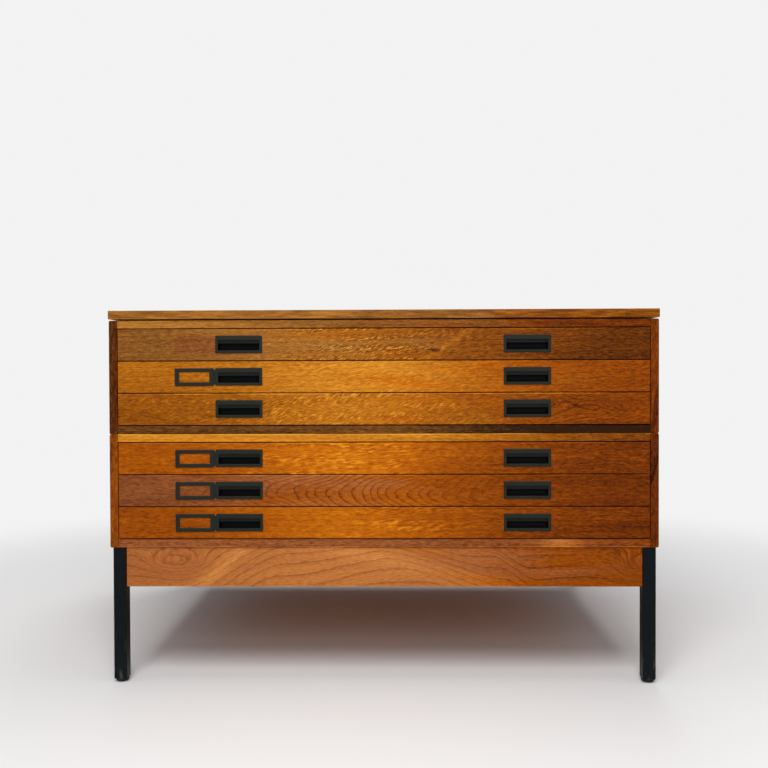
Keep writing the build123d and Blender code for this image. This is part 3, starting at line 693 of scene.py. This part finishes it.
def black_plastic(name, has_cup):
    """Matt plastic, greyed where the rim attribute is 1 and painted near black as shade where it is 0,
    with specks of dust on what faces up.
    """
    bench = Bench(name)
    point = bench.point()
    up = bench.parts(bench.node("ShaderNodeNewGeometry", output="Normal"))[2]
    cloud = bench.noise(point, (30, 30, 60), 1.0, 3.0)
    etched = bench.noise(point, (1600, 1600, 1600), 2.0, 2.0)
    speck = bench.step(bench.noise(point, (420, 420, 420), 3.0, 3.0), 0.5, 0.75)
    rub_and_painted_light = bench.node("ShaderNodeAttribute", {"attribute_name": "rim"}, output="Fac") if has_cup else 1.0
    dust = bench.step(up, 0.25, 0.95) * (cloud * 0.12 + speck * 0.2) + speck * 0.006
    faded = bench.blend(cloud, *PLASTIC_GREYS)
    # deep in a cup, where the rim attribute falls to 0, the colour is painted shade
    dark = bench.blend(rub_and_painted_light, CUP_PAINTED_SHADE, faded) if has_cup else faded
    colour = bench.blend(dust * (rub_and_painted_light * 0.8 + 0.2), dark, DUST)
    rough = 0.5 + dust * 0.3 - rub_and_painted_light * 0.12 + (cloud - 0.5) * 0.1
    relief = bench.relief(etched, 0.3, 0.00012)
    return bench.skin(colour, rough, relief, Specular_IOR_Level=0.05)


plastic = black_plastic("black_plastic", has_cup=True)
flat_plastic = black_plastic("flat_black_plastic", has_cup=False)
for n in (2, 4, 5, 6):
    dress(f"drawer_{n}_label_frame", flat_plastic)
print("plastic on the label frames")

# %% [markdown]
# ## The flush pulls
#
# A pull is one moulding: a flange on the drawer's face, a cup behind its window, and a grip bar that
# hangs from the cup's roof. Fingers go in under the bar and curl up behind it. The flange and cup are
# a single stack of rounded rectangles: up the outside of the cup, round the flange's rim, over the
# window's lip and into the cup, whose floor sweeps up to the back in a quarter circle.

# %% Sizes of a pull
PULL_WIDTH = 0.094
FLANGE_THICK = 0.002
RIM_ROUND = 0.0009           # rounded rim of the flange
LIP_ROUND = 0.0006           # rounded edge of the window
CORNER_ROUND = 0.0014        # corners of the flange, seen from the front
WINDOW_WIDTH = 0.083
WINDOW_HEIGHT = 0.0205
BOTTOM_BAR = 0.0055          # flange below the window
CUP_WALL = 0.0018
CUP_DEPTH = 0.0132
CUP_DRAFT = 0.0004           # the cup narrows by this towards its back
SCOOP_ROUND = 0.0072         # where the floor meets the back
ROOF_ROUND = 0.0020
SIDE_ROUND = 0.0030
GRIP_HEIGHT = 0.0070
GRIP_THICK = 0.0034
GRIP_SETBACK = 0.0030        # behind the front of the flange
CORNER_POINTS = 7            # on each corner of an outline
ARC_POINTS = 9               # outlines over a rounded edge

# %% Outlines and their bands
def rounded_box_outline(low_x, high_x, low_z, high_z, radius, y):
    """A rectangle with round corners at depth y, as rings of points, anticlockwise from the front.

    Each corner is a quarter circle about its own centre: centre plus radius times the cosine and
    the sine of an angle. The bounds and the depth are arrays, with one value for each ring.
    """
    low_x, high_x, low_z, high_z, radius, y = np.broadcast_arrays(low_x, high_x, low_z, high_z, radius, y)
    turn = np.linspace(0, np.pi / 2, CORNER_POINTS)
    corners = []
    for quarter, (x, z, side_x, side_z) in enumerate((
        (high_x, high_z, -1, -1), (low_x, high_z, 1, -1), (low_x, low_z, 1, 1), (high_x, low_z, -1, 1),
    )):
        angle = turn + quarter * np.pi / 2
        ring_x = (x + side_x * radius)[:, None] + radius[:, None] * np.cos(angle)
        ring_z = (z + side_z * radius)[:, None] + radius[:, None] * np.sin(angle)
        corners.append(np.stack([ring_x, np.broadcast_to(y[:, None], ring_x.shape), ring_z], axis=-1))
    return np.concatenate(corners, axis=1)


def quarter_arc():
    """Sine and one less cosine of angles from 0 to a right angle: how an arc leaves and arrives."""
    angle = np.linspace(0, np.pi / 2, ARC_POINTS)
    return np.sin(angle), 1 - np.cos(angle)


def rounded_in(radius, deep):
    """How far a wall that rounds into the cup's back has come in at a depth.

    It is the radius less the root of its square less the square of the way into the round.
    """
    way = np.clip(deep - CUP_DEPTH + radius, 0, None)
    return radius - np.sqrt(np.clip(radius ** 2 - way ** 2, 0, None))


def cup_and_flange(middle_x, middle_z, height, face):
    """Rings for the flange and the cup of one pull, from the back of the cup round to its inside."""
    half_x, half_z = PULL_WIDTH / 2, height / 2
    floor = -half_z + BOTTOM_BAR
    roof = floor + WINDOW_HEIGHT
    rings = []

    def band(low_x, high_x, low_z, high_z, radius, y):
        place = (middle_x + low_x, middle_x + high_x, middle_z + low_z, middle_z + high_z)
        rings.append(rounded_box_outline(*place, radius, face + np.atleast_1d(y)))

    wide = WINDOW_WIDTH / 2 + CUP_WALL
    outside = np.array([CUP_DEPTH + CUP_WALL, 0.0])
    band(-wide, wide, floor - CUP_WALL, roof + CUP_WALL, CUP_WALL, outside)
    leave, arrive = quarter_arc()
    band(-half_x, half_x, -half_z, half_z, CORNER_ROUND, 0.0)
    inset = RIM_ROUND * arrive
    rim_y = RIM_ROUND * (1 - leave) - FLANGE_THICK
    band(inset - half_x, half_x - inset, inset - half_z, half_z - inset, CORNER_ROUND, rim_y)
    wide = WINDOW_WIDTH / 2
    inset = LIP_ROUND * (1 - leave)
    lip_y = LIP_ROUND * arrive - FLANGE_THICK
    band(-wide - inset, wide + inset, floor - inset, roof + inset, LIP_ROUND + inset, lip_y)
    deep = CUP_DEPTH - SCOOP_ROUND * (1 - leave)
    rise = SCOOP_ROUND * arrive
    drop = rounded_in(ROOF_ROUND, deep)
    aside = rounded_in(SIDE_ROUND, deep) + CUP_DRAFT * deep / CUP_DEPTH
    band(aside - wide, wide - aside, floor + rise, roof - drop, LIP_ROUND, deep)
    return np.concatenate(rings)


def grip_bar(middle_x, middle_z, height, face):
    """Rings for the grip bar, which hangs from the roof and ends in a half round."""
    roof = middle_z - height / 2 + BOTTOM_BAR + WINDOW_HEIGHT
    foot = roof - GRIP_HEIGHT
    radius = GRIP_THICK / 2
    middle_y = face - FLANGE_THICK + GRIP_SETBACK + radius
    top = roof + CUP_WALL / 2
    angle = np.linspace(0, -np.pi, 2 * ARC_POINTS)
    y = np.concatenate([[middle_y + radius], middle_y + radius * np.cos(angle), [middle_y - radius]])
    z = np.concatenate([[top], foot + radius + radius * np.sin(angle), [top]])
    reach = (WINDOW_WIDTH + CUP_WALL) / 2
    x = np.array([middle_x + reach, middle_x - reach])
    outline = np.stack([np.zeros_like(y), y, z], axis=-1)
    return outline[None] + np.stack([x, 0 * x, 0 * x], axis=-1)[:, None]


rings = cup_and_flange(0.0, 0.0, 0.035, 0.0)
print("a pull has", rings.shape[0], "rings of", rings.shape[1], "points")

# %% The twelve pulls
def rim_wear_and_cup_shade(mesh, flange_front):
    """Writes 1 on the flange's vertices, which hands have polished, and 0 deep in the cup, where the
    colour is painted near black as shade.

    Between them it is 1.6 less the depth behind the front over one and a half flanges.
    """
    place = np.empty(len(mesh.vertices) * 3)
    mesh.vertices.foreach_get("co", place)
    near = np.clip(1.6 - (place[1::3] - flange_front) / (1.5 * FLANGE_THICK), 0, 1)
    mesh.attributes.new("rim", "FLOAT", "POINT").data.foreach_set("value", near.astype(np.float32))


for n in DRAWERS:
    low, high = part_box(f"drawer_{n}_pulls")
    face = low[1] + FLANGE_THICK
    height = high[2] - low[2]
    solids = []
    for middle_x in (low[0] + PULL_WIDTH / 2, high[0] - PULL_WIDTH / 2):
        where = (middle_x, (low[2] + high[2]) / 2, height, face)
        solids += [solid_of_rings(cup_and_flange(*where)), solid_of_rings(grip_bar(*where))]
    pulls = add_piece(
        f"drawer_{n}_flush_pulls", solids, f"drawer_{n}", f"drawer_{n}_pulls", plastic,
    )
    rim_wear_and_cup_shade(pulls.data, low[1])
print("pulls with", len(pulls.data.polygons), "faces on each drawer")

# %% [markdown]
# ## Painted steel
#
# The legs are square tube with a satin black stove paint. The paint has a faint orange peel, which
# only shows in the gloss. Near the floor shoes and brooms have left dull, dusty scuffs.

# %% Paint
PAINT_BLACKS = ((0.0030, 0.0046, 0.0056), (0.0050, 0.0074, 0.0088))
SCUFF_GREY = (0.16, 0.155, 0.145)
SCUFF_HEIGHTS = (0.12, 0.01)     # where the scuffs begin, and where they are full


def black_steel():
    """Satin paint, dusty and scuffed low down."""
    bench = Bench("black_steel")
    point = bench.point()
    height = bench.parts(point)[2]
    cloud = bench.noise(point, (14, 14, 9), 5.0, 3.0)
    peel = bench.noise(point, (260, 260, 260), 6.0, 2.0)
    scuff = bench.step(bench.noise(point, (150, 150, 40), 7.0, 5.0), 0.56, 0.74)
    low_down = bench.step(height, *SCUFF_HEIGHTS)
    dusty = scuff * (low_down * 0.3 + 0.02) + low_down * 0.015
    colour = bench.blend(dusty, bench.blend(cloud, *PAINT_BLACKS), SCUFF_GREY)
    rough = 0.34 + dusty * 0.4 + (cloud - 0.5) * 0.16
    relief = bench.relief(peel, 0.15, 0.0004)
    return bench.skin(colour, rough, relief, Specular_IOR_Level=0.06)


LEGS = [f"{end}_{side}_leg" for end in ("front", "rear") for side in ("left", "right")]
paint = black_steel()
for leg in LEGS:
    dress(leg, paint)
print("paint on", len(LEGS), "legs")

# %% [markdown]
# ## The glides
#
# A round plastic glide closes the lower end of each leg. It is a turned form, so it is a profile of
# radius against height carried round an axis, with a square plug on top that grips the tube.

# %% Glides under the legs
GLIDE_PROFILE = (            # (radius, height), from the floor up
    (0.0070, 0.0000), (0.0085, 0.0003), (0.0100, 0.0010), (0.0115, 0.0021), (0.0126, 0.0036),
    (0.0132, 0.0050), (0.0135, 0.0053), (0.0135, 0.0076), (0.0132, 0.0080),
)
PLUG_HALF = 0.0109           # half the plug's width
PLUG_SOFT = 0.001            # round corners, and how far the tip narrows
PLUG_SUNK = 0.0005           # how deep the plug starts in the glide
PLUG_TIP = 0.002
PLUG_TOP = 0.026
TUBE = 0.026                 # width of the leg's tube
ROUND_POINTS = 48


def turned(radius, height):
    """Rings of a turned form: at each height, the radius times the cosine and sine of an angle."""
    angle = np.linspace(0, 2 * np.pi, ROUND_POINTS, endpoint=False)
    x, y = radius * np.cos(angle), radius * np.sin(angle)
    return np.stack([x, y, np.broadcast_to(height[:, None], x.shape)], axis=-1)


def glide(centre):
    """Rings of the glide itself."""
    radius, height = np.array(GLIDE_PROFILE).T
    return turned(radius[:, None], height) + np.array(centre)


def square_plug(centre):
    """Rings of a square plug with soft corners and a tapered tip."""
    half = np.array([PLUG_HALF, PLUG_HALF, PLUG_HALF - PLUG_SOFT])
    height = np.array([GLIDE_PROFILE[-1][1] - PLUG_SUNK, PLUG_TOP - PLUG_TIP, PLUG_TOP])
    rings = rounded_box_outline(-half, half, -half, half, PLUG_SOFT, height)
    return rings[..., [0, 2, 1]] + np.array(centre)


def outer_corner(low, high):
    """x and y of a leg's corner at the outside of the chest, and the signs of their sides."""
    side = np.where(np.array(low[:2]) < 0, -1, 1)
    return np.where(side < 0, low[:2], high[:2]), side


solids = []
for leg in LEGS:
    corner, side = outer_corner(*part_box(leg))
    centre = (*(corner - side * TUBE / 2), 0.0)
    solids += [solid_of_rings(glide(centre)), solid_of_rings(square_plug(centre))]
add_piece("glides", solids, "case", "feet", flat_plastic)
print(len(LEGS), "glides with their plugs")

# %% [markdown]
# ## Zinc-plated screws
#
# Twelve six-sided screws hold the stand: on each leg one goes up into the lower unit, and one goes
# into each apron. A real head is chamfered at its corners and sits on a washer that is part of it.

# %% Zinc
ZINC = ((0.42, 0.40, 0.33), (0.66, 0.67, 0.66))    # yellowed and bright


def zinc_plate():
    """Bright metal under a cloudy bloom."""
    bench = Bench("zinc_plate")
    point = bench.point()
    bloom = bench.noise(point, (130, 130, 130), 8.0, 4.0)
    scratch = bench.noise(point, (2500, 300, 2500), 9.0, 2.0)
    colour = bench.blend(bloom, *ZINC)
    rough = 0.28 + bloom * 0.25
    relief = bench.relief(scratch, 0.2, 0.0001)
    return bench.skin(colour, rough, relief, Metallic=1.0)


zinc = zinc_plate()
print("zinc for the screws")

# %% Sizes of a screw and its place
HEAD_ACROSS = 0.0090         # across the corners
HEAD_FLAT = HEAD_ACROSS / 2 * math.cos(math.pi / 6)    # from the middle to a flat
HEAD_THICK = 0.0035
HEAD_TOP = 0.9               # its round top, as a share of the flat's distance
CHAMFER = 1.06               # where it begins to cut the corners, as such a share
CHAMFER_LEVELS = (0.88, 0.74)    # where it begins and ends, as shares of the head's thickness
WASHER_THICK = 0.0007
SCREW_RADIUS = 0.0025
SCREW_LENGTH = 0.015
TIP_LENGTH = 0.004
TIP_RADIUS = 0.0004
LUG_THICK = 0.003
APRON_BACK = 0.020           # outer face of the leg to the back of the apron
SCREW_INSET = 0.047          # outer face of the leg to the screw
LUG_LEVEL = 0.0275           # the screw in a lug, below the top of the leg
print("a head is", round(2 * HEAD_FLAT, 5), "m across its flats")

# %% Screws through the plates and lugs
def hexagon_radius(angle):
    """The flat's distance over the cosine of the angle from the middle of the nearest flat."""
    rest = np.mod(angle + np.pi / 6, np.pi / 3) - np.pi / 6
    return HEAD_FLAT / np.cos(rest)


def screw_rings():
    """Rings along +Z from the head's top to the shank's tip, with the lug's face at height 0."""
    angle = np.linspace(0, 2 * np.pi, ROUND_POINTS, endpoint=False)
    hexagon = hexagon_radius(angle)
    circle = np.ones_like(angle)
    washer = circle * HEAD_ACROSS / 2
    shank = circle * SCREW_RADIUS
    rows = [
        (circle * HEAD_FLAT * HEAD_TOP, -HEAD_THICK),
        (np.minimum(hexagon, HEAD_FLAT * CHAMFER), -HEAD_THICK * CHAMFER_LEVELS[0]),
        (hexagon, -HEAD_THICK * CHAMFER_LEVELS[1]),
        (hexagon, -WASHER_THICK),
        (washer, -WASHER_THICK),
        (washer, 0.0),
        (shank, 0.0),
        (shank, SCREW_LENGTH - TIP_LENGTH),
        (circle * TIP_RADIUS, SCREW_LENGTH),
    ]
    radius, height = zip(*rows)
    return turned(np.stack(radius), np.array(height))


def aimed(rings, centre, direction):
    """The rings turned from +Z to a direction and moved to their centre."""
    turn = np.array(Vector((0, 0, 1)).rotation_difference(Vector(direction)).to_matrix())
    return rings @ turn.T + np.array(centre)


solids = []
for leg in LEGS:
    low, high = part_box(leg)
    corner, side = outer_corner(low, high)
    screw_x, screw_y = corner - side * SCREW_INSET
    lug_x, lug_y = corner - side * (APRON_BACK + LUG_THICK)
    level = high[2] - LUG_LEVEL
    for centre, direction in (
        ((screw_x, screw_y, high[2] - LUG_THICK), (0, 0, 1)),
        ((screw_x, lug_y, level), (0, side[1], 0)),
        ((lug_x, screw_y, level), (side[0], 0, 0)),
    ):
        solids.append(solid_of_rings(aimed(screw_rings(), centre, direction)))
add_piece("screws", solids, "case", "stand_screws", zinc)
print(len(solids), "screws")

# %% [markdown]
# ## A plain studio
#
# The floor and the wall of the studio are one pale colour without a horizon. Most light comes from
# above and a little from the left, so that the cups of the pulls and the gaps between the drawers
# stay dark. A weaker lamp stands lower in front, like a window, and a small one lights the back. The
# floor keeps the chest's shadow near it and fades into the backdrop far away.

# %% Floor
BACKGROUND = (0.89, 0.89, 0.895)
FLOOR_GREY = (0.85, 0.85, 0.85)
FLOOR_REACH = 14.0           # half its side
FLOOR_FADES = (0.95, 2.1)    # from its middle: where it begins to fade, and where it is all backdrop


def floor():
    """A floor that takes the shadow near the chest and glows like the backdrop farther off."""
    bench = Bench("pale_floor")
    point = bench.point()
    away = bench.node("ShaderNodeVectorMath", {"operation": "LENGTH"}, {0: point}, output="Value")
    far = bench.step(away, *FLOOR_FADES)
    matt = bench.node("ShaderNodeBsdfDiffuse", None, {"Color": (*FLOOR_GREY, 1)})
    glow = bench.node("ShaderNodeEmission", None, {"Color": (*BACKGROUND, 1)})
    mixed = bench.node("ShaderNodeMixShader", None, {0: far, 1: matt, 2: glow})
    bench.node("ShaderNodeOutputMaterial", None, {"Surface": mixed})
    mesh = bpy.data.meshes.new("studio_floor")
    corners = np.array([(-1, -1, 0), (1, -1, 0), (1, 1, 0), (-1, 1, 0)]) * FLOOR_REACH
    mesh.from_pydata(corners.tolist(), [], [(0, 1, 2, 3)])
    made = bpy.data.objects.new("studio_floor", mesh)
    bpy.context.scene.collection.objects.link(made)
    mesh.materials.append(bench.owner)


floor()
print("the floor reaches", FLOOR_REACH, "m each way")

# %% Backdrop
AMBIENT = 0.45               # light from the sky in front
REAR_SHARE = 0.36            # how much of that comes from behind
SEEN_RAYS = ("Is Camera Ray", "Is Glossy Ray", "Is Transmission Ray")


def seen_directly(bench):
    """1 for rays that show the background itself: from the camera, in gloss and through glass."""
    ray = bench.node("ShaderNodeLightPath").socket.node
    wires = [Wire(bench, ray.outputs[name]) for name in SEEN_RAYS]
    return bench.maths("MINIMUM", wires[0] + wires[1] + wires[2], 1.0)


def backdrop():
    """Plain to the eye, but as light a sky that is dark at the horizon and dim in the rear."""
    world = bpy.data.worlds.new("studio")
    bpy.context.scene.world = world
    bench = Bench("studio", world)
    _, back, up = bench.parts(bench.point("Generated"))
    high_up = bench.step(up, 0.0, 0.7)
    sky = high_up * bench.pick(bench.step(back, -0.3, 0.8), AMBIENT, AMBIENT * REAR_SHARE)
    strength = bench.pick(seen_directly(bench), sky, 1.0)
    light = bench.node("ShaderNodeBackground", None, {"Color": (*BACKGROUND, 1), "Strength": strength})
    bench.node("ShaderNodeOutputWorld", None, {"Surface": light})


backdrop()
print("the sky gives", AMBIENT, "in front")

# %% Lamps
LAMPS = {                    # place, target, side in metres, watts
    "key": ((-0.3, -2.3, 2.8), (-0.05, -0.2, 0.4), 1.5, 60),
    "window": ((0.2, -3.4, 1.45), (0.0, -0.2, 0.35), 1.5, 25),
    "overhead": ((0.0, 0.2, 3.0), (0, 0, 0.5), 2.2, 26),
    "rear": ((0.6, 1.4, 3.4), (0, 0.4, 0.5), 1.0, 18),
}


def lamp(name, place, target, size, power):
    """A square lamp that shines from a place to a target."""
    data = bpy.data.lights.new(name, "AREA")
    data.shape = "SQUARE"
    data.size = size
    data.energy = power
    made = bpy.data.objects.new(name, data)
    made.location = place
    made.rotation_euler = (Vector(target) - Vector(place)).to_track_quat("-Z", "Y").to_euler()
    bpy.context.scene.collection.objects.link(made)


for name, numbers in LAMPS.items():
    lamp(name, *numbers)
print(len(LAMPS), "lamps")

# %% [markdown]
# ## The camera
#
# The camera stands in front of the chest, a little to its right and lower than its top, and looks
# very slightly down. The turns are small, because the photographer stood nearly square to it.

# %% Place the camera
SENSOR = 36.0                # millimetres
PHOTO_SIDE = 768             # pixels
FOCAL_PIXELS = 865.3
DISTANCE = 1.7274            # from the drawers' faces
ASIDE = 0.0293               # right of the chest's middle
LENS_HEIGHT = 0.6273
TURNS = (0.888, 89.145, -0.195)    # degrees to the left, up from straight down, and about its own view
camera_data = bpy.data.cameras.new("camera")
camera_data.sensor_width = SENSOR
camera_data.lens = FOCAL_PIXELS / PHOTO_SIDE * SENSOR
camera = bpy.data.objects.new("camera", camera_data)
bpy.context.scene.collection.objects.link(camera)
bpy.context.scene.camera = camera
turn, tilt, roll = (math.radians(v) for v in TURNS)
faces_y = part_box("drawer_1_front")[0][1]
camera.matrix_world = (
    Matrix.Translation((ASIDE, faces_y - DISTANCE, LENS_HEIGHT))
    @ Matrix.Rotation(turn, 4, "Z")
    @ Matrix.Rotation(tilt, 4, "X")
    @ Matrix.Rotation(roll, 4, "Z")
)
bpy.context.scene.view_settings.view_transform = "Standard"
print("the lens is", round(camera_data.lens, 2), "mm")
